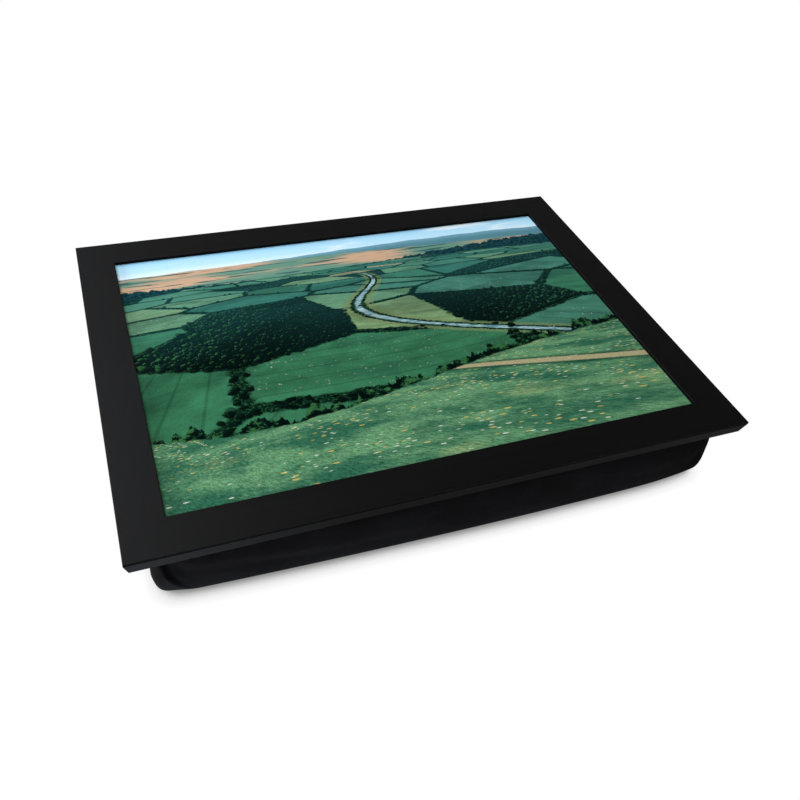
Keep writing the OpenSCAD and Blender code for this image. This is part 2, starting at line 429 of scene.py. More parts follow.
def landscape(ink, x, y):
    """A wide farmed valley with a stream, for x across and y up, both in shares of the print's height."""
    def laid(layer, crest, softness=0.004):
        """The paint so far with a layer over all that lies below its crest."""
        return ink.blend(paint, layer, (crest - y).step(0.0, softness))

    # Sky with long thin clouds
    paint = ink.tones(y, [(0.90, rgb(226, 243, 249)), (0.94, rgb(186, 226, 243)), (1.0, rgb(142, 200, 230))])
    cloud = ink.noise(x * 1.3, y * 8.0, 3.0, 2.2, 6.0, 0.6).step(0.50, 0.72)
    paint = ink.blend(paint, rgb(240, 246, 247), cloud * 0.75)

    # Far range, pale with distance
    jags = ink.noise(x, 0.0, 1.0, 9.0, 4.0)
    crest = (x * 3.4 + 0.4).sin() * 0.012 + 0.917 + (jags - 0.5) * 0.012
    hills = ink.blend(rgb(120, 165, 182), rgb(92, 140, 150), (crest - y).step(0.0, 0.03))
    paint = laid(hills, crest)

    # Ripe fields on the far slope
    crest = (x * 2.6 + 2.6).sin() * 0.016 + 0.893 + (jags - 0.5) * 0.008
    ripe = ink.noise(x, y * 10.0, 5.0, 2.6, 3.0).step(0.35, 0.62)
    slope = ink.blend(rgb(110, 150, 132), rgb(202, 170, 142), ripe)
    strip = ink.noise(x * 2.0 + y * 6.0, y * 38.0, 9.0, 3.0, 2.0).step(0.60, 0.66)
    slope = ink.blend(slope, rgb(64, 106, 104), strip)
    paint = laid(slope, crest)

    # Wooded ridge under them
    lumps = ink.noise(x, y * 0.6, 4.0, 46.0, 3.0, 0.6)
    crest = (x * 3.9 - 0.9).sin() * 0.022 + (x * 1.3 + 0.2).sin() * 0.015 + 0.842 + (lumps - 0.5) * 0.030
    lit = ink.noise(x, y * 1.6, 7.0, 60.0, 3.0, 0.7).step(0.38, 0.6)
    wood = ink.blend(rgb(34, 78, 84), rgb(14, 52, 58), lit)
    paint = laid(wood, crest)

    # Valley floor, with woods in some of its fields
    haze = y.step(0.42, 0.86)
    grain = ink.noise(x, y * 1.3, 2.0, 120.0, 3.0, 0.7)
    field, hedge = hedged_fields(ink, x, bent(x, y))
    field = ink.blend(field, rgb(78, 138, 130), haze * 0.5)
    leaves = ink.blend(foliage(ink, grain, grain + 0.2), rgb(30, 76, 80), haze * 0.6)
    floor = ink.blend(field, leaves, hedge)
    floor = ink.blend(floor, ink.blend(LEAF_DARK, rgb(24, 66, 70), haze), in_wood(ink, x, y))
    for size, seed in ((44.0, 3.4), (52.0, 5.6), (36.0, 7.7)):
        there, lit = canopy(ink, x, y, size, seed, 0.94, in_wood)
        crown = ink.blend(foliage(ink, lit, grain + 0.5), rgb(42, 92, 90), haze * 0.6)
        floor = ink.blend(floor, crown, there)
    crest = (x * 3.0 + 1.2).sin() * 0.012 + 0.822 + (lumps - 0.5) * 0.010
    paint = laid(floor, crest, 0.003)

    # Stream winding down the valley, with scrub on its banks and a meadow on either side
    across, depth = level_ground(x, y, HORIZON - 0.02)
    run = depth.log()
    middle = (run * 3.3 + 0.5).sin() * 0.62 + (run * 1.4 + 1.0).sin() * 0.7 + 0.25
    away = (across - middle).abs() + (ink.noise(x, y * 2.4, 6.0, 20.0, 4.0, 0.6) - 0.5) * 0.07
    below = (0.80 - y).step(0.0, 0.03)
    scrub = foliage(ink, grain, grain + 0.25)
    meadow = ink.blend(rgb(92, 130, 88), rgb(140, 148, 104), grain)
    paint = ink.blend(paint, meadow, (1 - away.step(0.16, 0.22)) * below * 0.7)
    paint = ink.blend(paint, scrub, (1 - (away + (grain - 0.5) * 0.06).step(0.085, 0.11)) * below)
    ripples = ink.noise(x * 1.5, y * 16.0, 8.0, 9.0, 4.0, 0.6).step(0.30, 0.70)
    water = ink.blend(rgb(96, 138, 144), rgb(178, 208, 210), ripples)
    water = ink.blend(water, rgb(48, 84, 84), away.step(0.022, 0.054))
    paint = ink.blend(paint, water, (1 - away.step(0.050, 0.058)) * below)

    # Sheep on the grazed fields
    for size, seed in ((105.0, 2.9), (125.0, 6.3)):
        there, lit = canopy(ink, x, y, size, seed, 0.025, in_pasture)
        fleece = ink.blend(rgb(96, 112, 100), rgb(236, 236, 222), lit)
        paint = ink.blend(paint, fleece, there * (0.74 - y).step(0.0, 0.06))

    # Trees along the hedges
    for size, seed, share in ((26.0, 1.3, 0.50), (30.0, 2.2, 0.55)):
        there, lit = canopy(ink, x, y, size, seed, share, on_hedge)
        crown = ink.blend(foliage(ink, lit, grain + 0.35), rgb(34, 80, 84), haze * 0.65)
        paint = ink.blend(paint, crown, there * (0.83 - y).step(0.0, 0.02))

    # Shadows of clouds that drift over the valley
    a, d = field_place(x, y)
    shadow = ink.noise(a, d, 8.0, 0.9, 4.0, 0.5).step(0.50, 0.60) * (0.84 - y).step(0.0, 0.05)
    paint = ink.shade(paint, 1 - shadow * 0.26)

    # Near slope: a hedge along its crest, then a meadow in flower with a footpath
    swell = (x * 2.3 - 0.55).sin() * 0.095 + (x * 5.2 + 0.8).sin() * 0.012 + 0.33
    clumps = ink.noise(x, 0.0, 2.0, 13.0, 4.0, 0.6)
    hedge_top = swell + (clumps - 0.36) * 0.17
    lit = ink.noise(x, y * 1.2, 3.0, 30.0, 5.0, 0.68).step(0.36, 0.66)
    shade = (hedge_top - y).step(0.0, 0.09)
    bush = foliage(ink, lit * (1 - shade * 0.6), grain + 0.3)
    paint = ink.blend(paint, bush, (hedge_top - y + (grain - 0.5) * 0.02).step(0.0, 0.006))
    verge = swell + (clumps - 0.5) * 0.02
    ground = (0.62 + x * 0.10 - y).most(0.05).inverse()
    along = (x + 0.95) * ground
    sward = ink.noise(along, ground * 1.4, 1.0, 2.2, 5.0, 0.62)
    grass = ink.blend(rgb(52, 104, 80), rgb(104, 150, 110), sward.step(0.34, 0.66))
    dry = ink.noise(along, ground * 2.0, 7.0, 1.1, 4.0).step(0.56, 0.74)
    grass = ink.blend(grass, rgb(140, 164, 116), dry * 0.7)
    tuft = ink.noise(along * 26.0, ground * 14.0, 4.0, 2.2, 5.0, 0.8)
    grass = ink.shade(grass, tuft.step(0.25, 0.75) + 0.50)
    path_middle = (ground * 0.9 + 0.4).sin() * 0.9 + (ground * 2.3).sin() * 0.25 + 3.3
    from_path = (along - path_middle).abs() + (tuft - 0.5) * 0.10
    grass = ink.blend(grass, rgb(30, 70, 52), (1 - from_path.step(0.13, 0.24)) * 0.7)
    trodden = ink.blend(rgb(150, 146, 112), rgb(186, 176, 140), tuft)
    grass = ink.blend(grass, trodden, 1 - from_path.step(0.08, 0.12))
    drift = ink.noise(along, ground, 5.0, 1.7, 3.0).step(0.46, 0.62) * from_path.step(0.12, 0.3)
    for size, seed, petal in ((13.0, 0.0, rgb(232, 232, 214)), (10.0, 4.1, rgb(226, 196, 104))):
        away, _, (pick, tint, _) = ink.cells(along * size + seed, ground * size * 1.9)
        petals = tint * 0.10 + 0.05
        bloom = (1 - (away - petals).step(0.0, 0.07)) * (pick + drift * 0.45 - 0.90).step(0.0, 0.05)
        grass = ink.blend(grass, petal, bloom * (tuft * 0.5 + 0.35))
    paint = laid(grass, verge, 0.006)

    # Fine grain of the whole print, coarser on what is near
    speck = ink.noise(x, y, 0.0, 260.0, 3.0, 0.8)
    coarse = (HORIZON - y).step(0.02, 0.5) * 0.85 + 0.25
    return ink.shade(paint, (speck - 0.5) * coarse + 1.0)


# Materials of the rigid pieces

# How far the middle of the quirk line lies below the frame's top, and half its width
QUIRK_DROP = 1.3 * MM
QUIRK_HALF = 0.4 * MM
# How far the stain runs in under the frame, and how much that varies
STAIN_RUN = 3.2 * MM
STAIN_WAVE = 3 * MM


def wood(name, along_y):
    """Black stained moulding with a satin finish; its grain runs along Y or X. The underside is bare."""
    ink = Ink(name)
    x, y, z = ink.here()
    log = (y, x, z) if along_y else (x, y, z)
    fibres = ink.grain(log, (9, 420, 420), 1.0, 4.0, 0.6)
    pores = ink.grain(log, (55, 1500, 1500), 2.0, 2.0, 0.5)
    speck = ink.grain((x, y, z), 2600, 3.0, 2.0, 0.6)
    waves = ink.grain(log, (3, 60, 60), 4.0, 2.0, 0.5)

    # How near the place is to the frame's outer edge, and where shade is painted into the quirk line
    rim = ((x.abs() - FRAME_HIGH.x) * -1).least((y.abs() - FRAME_HIGH.y) * -1)
    below_top = FRAME_HIGH.z - z
    level = 1 - ((below_top - QUIRK_DROP).abs() - QUIRK_HALF).step(0.0, 0.0001)
    quirk_painted_shade = level * (rim - 0.0001).step(0.0, 0.0002)
    edge = (1 - rim.step(0.0001, 0.0008)) * (1 - below_top.step(0.0003, 0.0008))
    worn = edge * (ink.grain((x, y, z), 60, 5.0, 4.0, 0.65) - 0.56).step(0.0, 0.10)

    stain = ink.blend(rgb(6, 6, 6), rgb(9, 9, 9), (fibres * 0.7 + waves * 0.3).step(0.30, 0.70))
    # Painted glints: fine specks of lighter colour over the stain
    stain = ink.blend(stain, rgb(18, 18, 19), (speck - 0.52).step(0.0, 0.2) * 0.6)
    stain = ink.blend(stain, rgb(4, 4, 4), (pores - 0.58).step(0.0, 0.10) * 0.6)
    stain = ink.blend(stain, rgb(46, 44, 42), worn * 0.3)
    pine = ink.blend(rgb(206, 170, 118), rgb(170, 122, 74), fibres.step(0.36, 0.62))
    pine = ink.blend(pine, rgb(120, 82, 50), (pores - 0.60).step(0.0, 0.08) * 0.6)
    below = (ink.facing()[2] * -1 - 0.8).step(0.0, 0.1)
    bare = below * (rim - STAIN_RUN + (waves - 0.5) * STAIN_WAVE).step(0.0, 0.0012)
    # Painted shade: the quirk line is darkened to near black
    colour = ink.blend(ink.blend(stain, rgb(2, 2, 2), quirk_painted_shade), pine, bare)

    rough = fibres * 0.08 + speck * 0.16 + 0.36 + bare * 0.3 + quirk_painted_shade * 0.5
    height = fibres * 0.45 + (pores - 0.58).step(0.0, 0.10) * -0.8 + speck * 0.5
    return ink.surface(colour, rough, ink.bump(height, 0.00005, 0.5), specular=0.1)


def steel(name):
    """Bright steel strip, brushed along its length, with a thin tarnish."""
    ink = Ink(name)
    place = ink.here()
    brushed = ink.grain(place, (900, 900, 4000), 1.0, 3.0, 0.6)
    stain = ink.grain(place, 220, 2.0, 3.0, 0.6)
    colour = ink.blend(rgb(206, 208, 212), rgb(150, 148, 144), (stain - 0.5).step(0.0, 0.2) * 0.6)
    rough = brushed * 0.22 + stain * 0.15 + 0.16
    return ink.surface(colour, rough, ink.bump(brushed, 0.00003, 0.4), metal=1.0)


def fibreboard(name):
    """Pressed wood fibre: a fine mat of light and dark strands."""
    ink = Ink(name)
    place = ink.here()
    strands = ink.grain(place, (700, 1500, 900), 1.0, 4.0, 0.7, twist=1.5)
    crossed = ink.grain(place, (1700, 650, 900), 2.0, 4.0, 0.7, twist=1.5)
    clouds = ink.grain(place, 14, 3.0, 3.0, 0.6)
    mat = strands * 0.5 + crossed * 0.5
    colour = ink.blend(rgb(118, 84, 56), rgb(186, 148, 106), (mat * 0.8 + clouds * 0.2).step(0.34, 0.66))
    flecks = (crossed - 0.64).step(0.0, 0.06)
    colour = ink.blend(colour, rgb(70, 46, 30), flecks * 0.6)
    return ink.surface(colour, mat * 0.15 + 0.62, ink.bump(mat, 0.00012, 0.6), specular=0.3)


# How much the print's dark parts are darkened
PRINT_CONTRAST = 1.1


def print_sheet(name):
    """Laminated print: a farmed valley on the upper face, white plastic on the edges and the back."""
    ink = Ink(name)
    x, y, z = ink.here()
    picture = landscape(ink, x * (1 / PRINT_W), y * (1 / PRINT_W) + 0.5)
    upper = ink.facing()[2].step(0.5, 0.9)
    colour = ink.blend(rgb(232, 232, 228), ink.deepen(picture, PRINT_CONTRAST), upper)
    film = ink.grain((x, y, z), 900, 1.0, 3.0, 0.6)
    smear = ink.grain((x, y, z), 22, 2.0, 4.0, 0.6)
    rough = film * 0.03 + smear * 0.07 + 0.12
    waves = film * 0.2 + ink.grain((x, y, z), (30, 30, 1), 3.0, 2.0, 0.5)
    return ink.surface(colour, rough, ink.bump(waves, 0.00006, 0.2), specular=0.12)


def hook_tape(name):
    """Stiff black nylon: a ribbed tape and the bristly hooks that stand on it."""
    ink = Ink(name)
    x, y, z = ink.here()
    weave = (x * 5200).sin() * (y * 5200).sin()
    grain = ink.grain((x, y, z), 900, 1.0, 3.0, 0.6)
    colour = ink.blend(rgb(14, 14, 15), rgb(34, 34, 36), (weave * 0.2 + grain).step(0.35, 0.75))
    return ink.surface(colour, grain * 0.2 + 0.38, ink.bump(weave * 0.5 + grain, 0.0001, 0.5))


def loop_tape(name):
    """Black loop tape: a felted pile of fine curled threads."""
    ink = Ink(name)
    place = ink.here()
    curls = ink.grain(place, 1500, 1.0, 4.0, 0.75, twist=2.5)
    tufts = ink.grain(place, 330, 2.0, 3.0, 0.6, twist=1.0)
    colour = ink.blend(rgb(8, 8, 9), rgb(44, 44, 46), (curls * 0.7 + tufts * 0.3).step(0.38, 0.68))
    return ink.surface(colour, 0.85, ink.bump(curls * 0.6 + tufts, 0.0006, 0.8), sheen=0.12)


# The seam round the cover's rim: its height, how far the painted shade along it fades out, and the length of
# its stitches
RIM_SEAM_Z = RAIL_Z - 1.7 * MM
RIM_FADE = (0.2 * MM, 0.7 * MM)
RIM_STITCH = 3 * MM


def cushion_cloth(name):
    """Brushed black cotton drill: a fine slanting weave under a soft nap, with a stitched seam at the rim."""
    ink = Ink(name)
    place = x, y, z = ink.here()
    nap = ink.grain(place, 1400, 1.0, 4.0, 0.7, twist=1.0)
    twill = ((x + y + z * 1.4) * 6800).sin() * 0.5 + 0.5
    lint = ink.grain(place, 420, 2.0, 4.0, 0.7, twist=3.0)
    patches = ink.grain(place, (26, 26, 34), 3.0, 4.0, 0.6)
    colour = ink.blend(rgb(10, 10, 10), rgb(20, 20, 21), (nap * 0.5 + patches * 0.5).step(0.34, 0.66))
    colour = ink.shade(colour, twill * 0.18 + 0.86)
    colour = ink.blend(colour, rgb(40, 40, 42), (lint - 0.66).step(0.0, 0.04) * 0.3)
    seam = 1 - (z - RIM_SEAM_Z).abs().step(*RIM_FADE)
    stitched = ((x + y) * (math.pi / RIM_STITCH)).sin().abs().step(0.2, 0.6)
    # Painted shade: the cloth is darkened along the seam line under the rim
    colour = ink.shade(colour, 1 - seam * 0.7)
    creases = ink.grain(place, (75, 75, 95), 4.0, 4.0, 0.55, twist=0.6)
    fine = ink.bump(nap * 0.7 + twill * 0.4 + seam * stitched * -2.0, 0.00018, 0.55)
    bent_cloth = ink.bump(creases, 0.0012, 0.35, fine)
    return ink.surface(colour, nap * 0.1 + 0.82, bent_cloth, specular=0.03, sheen=0.015)


def thread(name):
    """Twisted black sewing thread."""
    ink = Ink(name)
    x, y, z = ink.here()
    twist = ((x + y - z) * 9000).sin() * 0.5 + 0.5
    colour = ink.blend(rgb(16, 16, 17), rgb(44, 44, 47), twist)
    return ink.surface(colour, 0.6, ink.bump(twist, 0.00008, 0.6), sheen=0.2)


# Width of a foam bead
BEAD_SIZE = 3.2 * MM


def bead_skin(name):
    """White foam beads, packed against each other, with painted shade between them."""
    ink = Ink(name)
    bead = ink.voronoi(ink.here(), 1 / BEAD_SIZE, "3D")
    dome_and_shade = 1 - bead["Distance"].step(0.0, 0.62)
    # Painted shade: each bead is darker towards its edge, where it meets the next
    colour = ink.blend(rgb(168, 168, 164), rgb(244, 244, 240), dome_and_shade.step(0.05, 0.5))
    colour = ink.shade(colour, ink.split(bead["Color"])[0] * 0.08 + 0.92)
    return ink.surface(colour, 0.55, ink.bump(dome_and_shade, 0.0012, 0.9), specular=0.3)


def dress(material, *names):
    """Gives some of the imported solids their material."""
    for name in names:
        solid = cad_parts[name]
        if not solid.material_slots:
            solid.data.materials.append(material)
        for slot in solid.material_slots:
            slot.material = material


# Cushion

# How far the cover stands in from the frame's edge at its corners, at the ends and along the sides
END_INSET = 13.3 * MM
SIDE_INSET = 8.6 * MM
# Half its length and width, without the belly of its sides
HALF_X = FRAME_HIGH.x - END_INSET
HALF_Y = FRAME_HIGH.y - SIDE_INSET
# How far the sides belly out between the corners
LONG_BOW = 3.4 * MM
SHORT_BOW = 3.0 * MM
# Radius of the corners in plan, and the height at which the cover is widest
CORNER_R = 4.5 * MM
WIDEST_Z = 31 * MM
# How far each corner reaches out beyond an even form, along X and along Y
CORNER_REACH = {
    "front_left": (-1.0 * MM, -2.3 * MM),
    "front_right": (1.8 * MM, 3.9 * MM),
    "back_right": (0.5 * MM, -1.0 * MM),
    "back_left": (-0.6 * MM, 0.8 * MM),
}
# How far the base lies to the right of the widest part
BASE_SHIFT = 2 * MM
# How far the seam and the base draw in from the widest part at the sides, the share of it by which they draw
# in at the ends, and the squareness of the lower edge
SEAM_INSET = 6.3 * MM
BASE_INSET = 15.6 * MM
END_SHARE = 0.72
EDGE_POWER = 2.7
# Gap between the cover and the pieces above it
COVER_GAP = 0.1 * MM
COVER_TOP = RAIL_Z - COVER_GAP

# Steps of the mesh along the sides, round each corner, above the widest ring and below it
LONG_STEPS = 96
SHORT_STEPS = 64
CORNER_STEPS = 6
UPPER_RINGS = 8
LOWER_RINGS = 14
# How much closer than the average the steps along a side lie at its ends, and how the rings below the widest
# one gather towards it
END_GRADE = 0.62
RING_GRADE = 1.5
CAP_ACROSS = LONG_STEPS + CORNER_STEPS
CAP_UP = SHORT_STEPS + CORNER_STEPS
RING_POINTS = 2 * (CAP_ACROSS + CAP_UP)
RING_COUNT = UPPER_RINGS + LOWER_RINGS + 1


def ring_plan(inset):
    """Plan of a ring, anticlockwise from the middle of the front left corner's arc."""
    half_x = HALF_X - inset * END_SHARE
    half_y = HALF_Y - inset
    flat_x = half_x - CORNER_R
    flat_y = half_y - CORNER_R

    def side(x, y, along, outwards, bow, count):
        points = []
        for i in range(count):
            even = 2 * i / count - 1
            share = even + END_GRADE * math.sin(math.pi * even) / math.pi
            belly = bow * (1 - share * share)
            run, out = np.array(along) * share, np.array(outwards) * belly
            points.append((x + run[0] + out[0], y + run[1] + out[1]))
        return points

    return np.array(
        arc(-flat_x, -flat_y, CORNER_R, 225, 45, CORNER_STEPS // 2)
        + side(0, -half_y, (flat_x, 0), (0, -1), LONG_BOW, LONG_STEPS)
        + arc(flat_x, -flat_y, CORNER_R, 270, 90, CORNER_STEPS)
        + side(half_x, 0, (0, flat_y), (1, 0), SHORT_BOW, SHORT_STEPS)
        + arc(flat_x, flat_y, CORNER_R, 0, 90, CORNER_STEPS)
        + side(0, half_y, (-flat_x, 0), (0, 1), LONG_BOW, LONG_STEPS)
        + arc(-flat_x, flat_y, CORNER_R, 90, 90, CORNER_STEPS)
        + side(-half_x, 0, (0, -flat_y), (-1, 0), SHORT_BOW, SHORT_STEPS)
        + arc(-flat_x, -flat_y, CORNER_R, 180, 45, CORNER_STEPS // 2))


def four_sides(ring):
    """A ring's front, right, back and left side, each from left to right or from front to back."""
    ring = np.concatenate((ring, ring[:1]))
    ends = np.cumsum((0, CAP_ACROSS, CAP_UP, CAP_ACROSS, CAP_UP))
    front, right, back, left = (ring[low:high + 1] for low, high in zip(ends, ends[1:]))
    return front, right, back[::-1], left[::-1]


def cap_plan(ring):
    """Rows of points that fill a ring, whose four sides run from corner to corner."""
    front, right, back, left = four_sides(ring)
    u = np.linspace(0, 1, CAP_ACROSS + 1)[None, :, None]
    v = np.linspace(0, 1, CAP_UP + 1)[:, None, None]
    sides = (1 - v) * front[None] + v * back[None] + (1 - u) * left[:, None] + u * right[:, None]
    corners = (1 - v) * ((1 - u) * front[0] + u * front[-1]) + v * ((1 - u) * back[0] + u * back[-1])
    return sides - corners


def cushion_form():
    """Points and faces of the closed cover before it is sewn and filled: its rings from the seam down to the
    base come first, then the inner points of the top and of the base."""
    rings = []
    for k in range(UPPER_RINGS + 1):
        turn = math.pi / 2 * k / UPPER_RINGS
        rings.append((WIDEST_Z + (COVER_TOP - WIDEST_Z) * math.cos(turn), SEAM_INSET * (1 - math.sin(turn))))
    for k in range(1, LOWER_RINGS + 1):
        turn = math.pi / 2 * (k / LOWER_RINGS) ** RING_GRADE
        rings.append((WIDEST_Z - WIDEST_Z * math.sin(turn) ** (2 / EDGE_POWER),
                      BASE_INSET * (1 - math.cos(turn) ** (2 / EDGE_POWER))))
    plans = [ring_plan(inset) for _, inset in rings]
    points = [(x, y, z) for (z, _), plan in zip(rings, plans) for x, y in plan]
    faces = []
    here = np.arange(RING_POINTS)
    after = np.roll(here, -1)
    for upper in range(0, (RING_COUNT - 1) * RING_POINTS, RING_POINTS):
        lower = upper + RING_POINTS
        faces += np.stack((upper + after, upper + here, lower + here, lower + after), axis=1).tolist()
    for k in (0, RING_COUNT - 1):
        # Numbers of the points in the cap's rows, the ring's own round its border
        inner = cap_plan(plans[k])[1:-1, 1:-1]
        index = np.zeros((CAP_UP + 1, CAP_ACROSS + 1), int)
        index[0], index[:, -1], index[-1], index[:, 0] = four_sides(k * RING_POINTS + here)
        index[1:-1, 1:-1] = len(points) + np.arange(inner[..., 0].size).reshape(inner.shape[:2])
        points += [(x, y, rings[k][0]) for x, y in inner.reshape(-1, 2)]
        quads = np.stack((index[:-1, :-1], index[:-1, 1:], index[1:, 1:], index[1:, :-1]), axis=-1)
        quads = quads.reshape(-1, 4)
        faces += (quads if k == 0 else quads[:, ::-1]).tolist()
    return uneven(np.array(points)), faces


def corner_turn(corner):
    """On which side of the middle a corner lies, as 1 or -1 along X and along Y."""
    return 1 if "right" in corner else -1, 1 if "back" in corner else -1


def uneven(points):
    """Lets each corner reach out by its own amount, with a share of it for all that lies between them, and
    the base lie a little to one side."""
    moved = points.copy()
    moved[:, 0] += np.clip(1 - points[:, 2] / WIDEST_Z, 0, 1) * BASE_SHIFT
    for corner, reach in CORNER_REACH.items():
        turn = corner_turn(corner)
        share_x = (1 + points[:, 0] * turn[0] / FRAME_HIGH.x) / 2
        share = share_x * (1 + points[:, 1] * turn[1] / FRAME_HIGH.y) / 2
        for axis in (0, 1):
            moved[:, axis] += share * turn[axis] * reach[axis]
    return moved


# Cloth simulation of the cover: steps, pressure, how much wider the cloth is than the form, how firmly its
# seam is held, how far in from the foot's edge it is held fully, and the most that a point may move
CLOTH_STEPS = 20
CLOTH_PRESSURE = 4.0
CLOTH_SLACK = 0.03
SEAM_HOLD = 0.35
FOOT_HOLD = 30 * MM
MOVE_CAP = 4 * MM
# How much of the simulated swelling is taken off again, so that the folds stay and the outline doesn't grow,
# and how often the swelling and the folds are smoothed
SWELL_CUT = 0.9
SWELL_SMOOTHINGS = 60
FOLD_SMOOTHINGS = 10


def room_inside(points):
    """How far inside the foot's edge each point lies."""
    room_x = HALF_X - BASE_INSET - np.abs(points[:, 0])
    room_y = HALF_Y - BASE_INSET - np.abs(points[:, 1])
    return np.minimum(room_x, room_y)


def held(points):
    """How firmly each point of the cover is held: the top and the foot are, the sides are free."""
    hold = np.ones(len(points))
    hold[RING_POINTS:RING_COUNT * RING_POINTS] = 0
    hold[RING_POINTS:2 * RING_POINTS] = SEAM_HOLD
    foot = points[:, 2] < 1 * MM
    hold[foot] = np.clip(room_inside(points[foot]) / FOOT_HOLD, 0, 1)
    return hold


def settle_cloth(piece, points):
    """Where cloth simulation takes the cover's points when the beads press it outwards."""
    group = piece.vertex_groups.new(name="held")
    for i, weight in enumerate(held(points)):
        if weight > 0:
            group.add([i], float(weight), "REPLACE")
    cloth = piece.modifiers.new("cloth", "CLOTH")
    settings = cloth.settings
    settings.quality = 6
    settings.mass = 0.15
    settings.tension_stiffness = 20
    settings.compression_stiffness = 20
    settings.shear_stiffness = 8
    settings.bending_stiffness = 0.5
    settings.air_damping = 2
    settings.use_pressure = True
    settings.uniform_pressure_force = CLOTH_PRESSURE
    settings.shrink_min = -CLOTH_SLACK
    settings.vertex_group_mass = "held"
    settings.effector_weights.gravity = 0
    cloth.collision_settings.use_collision = False
    cloth.point_cache.frame_start = 1
    cloth.point_cache.frame_end = CLOTH_STEPS
    for step in range(1, CLOTH_STEPS + 1):
        bpy.context.scene.frame_set(step)
    depsgraph = bpy.context.evaluated_depsgraph_get()
    result = coordinates(piece.evaluated_get(depsgraph).data)
    piece.modifiers.clear()
    piece.vertex_groups.clear()
    bpy.context.scene.frame_set(1)
    return result


def folds_only(move):
    """The simulated move with its even swelling taken off and its size capped."""
    sides = RING_COUNT * RING_POINTS
    band = move[:sides].reshape(RING_COUNT, RING_POINTS, 3)
    even = band.copy()
    for _ in range(SWELL_SMOOTHINGS):
        even = (np.roll(even, 1, 1) + even * 2 + np.roll(even, -1, 1)) / 4
    folds = band - even * SWELL_CUT
    for _ in range(FOLD_SMOOTHINGS):
        folds = (np.roll(folds, 1, 1) + folds * 2 + np.roll(folds, -1, 1)) / 4
        folds[1:-1] = (folds[:-2] + folds[1:-1] * 2 + folds[2:]) / 4
    move[:sides] = folds.reshape(-1, 3)
    length = np.maximum(np.linalg.norm(move, axis=1, keepdims=True), 1e-9)
    return move * MOVE_CAP * np.tanh(length / MOVE_CAP) / length


# Creases near the corners of the long sides, beyond which the cloth turns back to the end: how far from the
# end each one starts, how much further it has run at the base, its bend, the slope at which the cloth turns
# back, the softness of the turn, and the depth of the hollow on its other side
CREASES = {
    "front_left": (7.5 * MM, 27 * MM, 2.6, 0.30, 1.2 * MM, 3.0 * MM),
    "front_right": (36 * MM, 0.0, 1.0, 0.22, 12 * MM, 0.0),
    "back_right": (6.0 * MM, 30 * MM, 2.2, 0.28, 1.2 * MM, 2.4 * MM),
    "back_left": (30 * MM, 8 * MM, 0.8, 0.20, 10 * MM, 0.0),
}
# Share of the slope that a crease has lost at the base
CREASE_EASE = 0.6
# How far the hollow runs, the width of its steep side, and the height below which it closes
HOLLOW_RUN = 26 * MM
HOLLOW_SIDE = 3.5 * MM
HOLLOW_FOOT = 6 * MM
# Between these distances from the side the crease fades out
CREASE_FADE = (8 * MM, 70 * MM)
# Long level folds: the side that they are on, their middle along X, half their length, their height, half
# their width and their depth
LEVEL_FOLDS = (
    (-1, -86 * MM, 58 * MM, 43 * MM, 15 * MM, 1.7 * MM),
    (-1, 168 * MM, 38 * MM, 41 * MM, 10 * MM, 1.7 * MM),
    (-1, 40 * MM, 60 * MM, 25 * MM, 11 * MM, 1.0 * MM),
    (1, 110 * MM, 55 * MM, 38 * MM, 9 * MM, 1.8 * MM),
    (1, -120 * MM, 60 * MM, 30 * MM, 9 * MM, 1.4 * MM),
)
# Seam round the rim: width and depth of the groove, size and depth of its puckers and how far down they
# reach, and how far below the rim the sides are free to fold
SEAM_WIDTH = 1.4 * MM
SEAM_DEPTH = 1.4 * MM
PUCKER_SIZE = 7 * MM
PUCKER_DEPTH = 0.9 * MM
PUCKER_REACH = 9 * MM
RIM_EASE = 3 * MM
# Long shallow folds along the sides: their depth, size and slant
PULL_DEPTH = 1.0 * MM
PULL_LENGTH = 120 * MM
PULL_HEIGHT = 13 * MM
PULL_SLANT = 0.07
# The lower edge, up to this height, runs straight without folds
QUIET_EDGE = 34 * MM


def fold_corners(points):
    """Turns the cloth of the long sides back beyond a crease near each corner."""
    moved = points.copy()
    x, y, z = points.T
    for corner, (start, run, bend, slope, softness, depth) in CREASES.items():
        turn_x, turn_y = corner_turn(corner)
        from_end = HALF_X - x * turn_x
        from_side = HALF_Y - y * turn_y
        drop = np.clip(1 - z / COVER_TOP, 0, 1)
        past_crease = from_end - start - run * drop ** bend
        slope = slope * (1 - CREASE_EASE * drop ** 2)
        turned = softness * np.log1p(np.exp(-past_crease / softness)) * slope
        fade = np.exp(-np.maximum(past_crease, 0) / HOLLOW_RUN)
        hollow = smooth_step(past_crease, -HOLLOW_SIDE / 2, HOLLOW_SIDE) * fade * depth
        hollow *= smooth_step(z, HOLLOW_FOOT, WIDEST_Z) * smooth_step(drop, 0.0, 0.1)
        near = 1 - smooth_step(from_side, *CREASE_FADE)
        moved[:, 1] -= turn_y * (turned + hollow) * near
    return moved


def level_folds(points, direction):
    """How far the long level folds lift each point of the two long sides."""
    lift = np.zeros(len(points))
    for side, middle, half_length, height, half_width, depth in LEVEL_FOLDS:
        along = (points[:, 0] - middle) / half_length
        up = (points[:, 2] - height) / half_width
        lift += np.exp(-along * along - up * up) * depth * np.clip(direction[:, 1] * side, 0, 1)
    return lift


# How far inside the cover's widest outline lies the block from which its sides are pushed outwards
CORE_DEPTH = 22 * MM


def outward(points):
    """Direction away from the cushion's middle in plan, square to the nearest side."""
    core = np.array((HALF_X, HALF_Y)) - CORE_DEPTH
    away = points[:, :2] - np.clip(points[:, :2], -core, core)
    return away / np.maximum(np.linalg.norm(away, axis=1, keepdims=True), 1e-9)


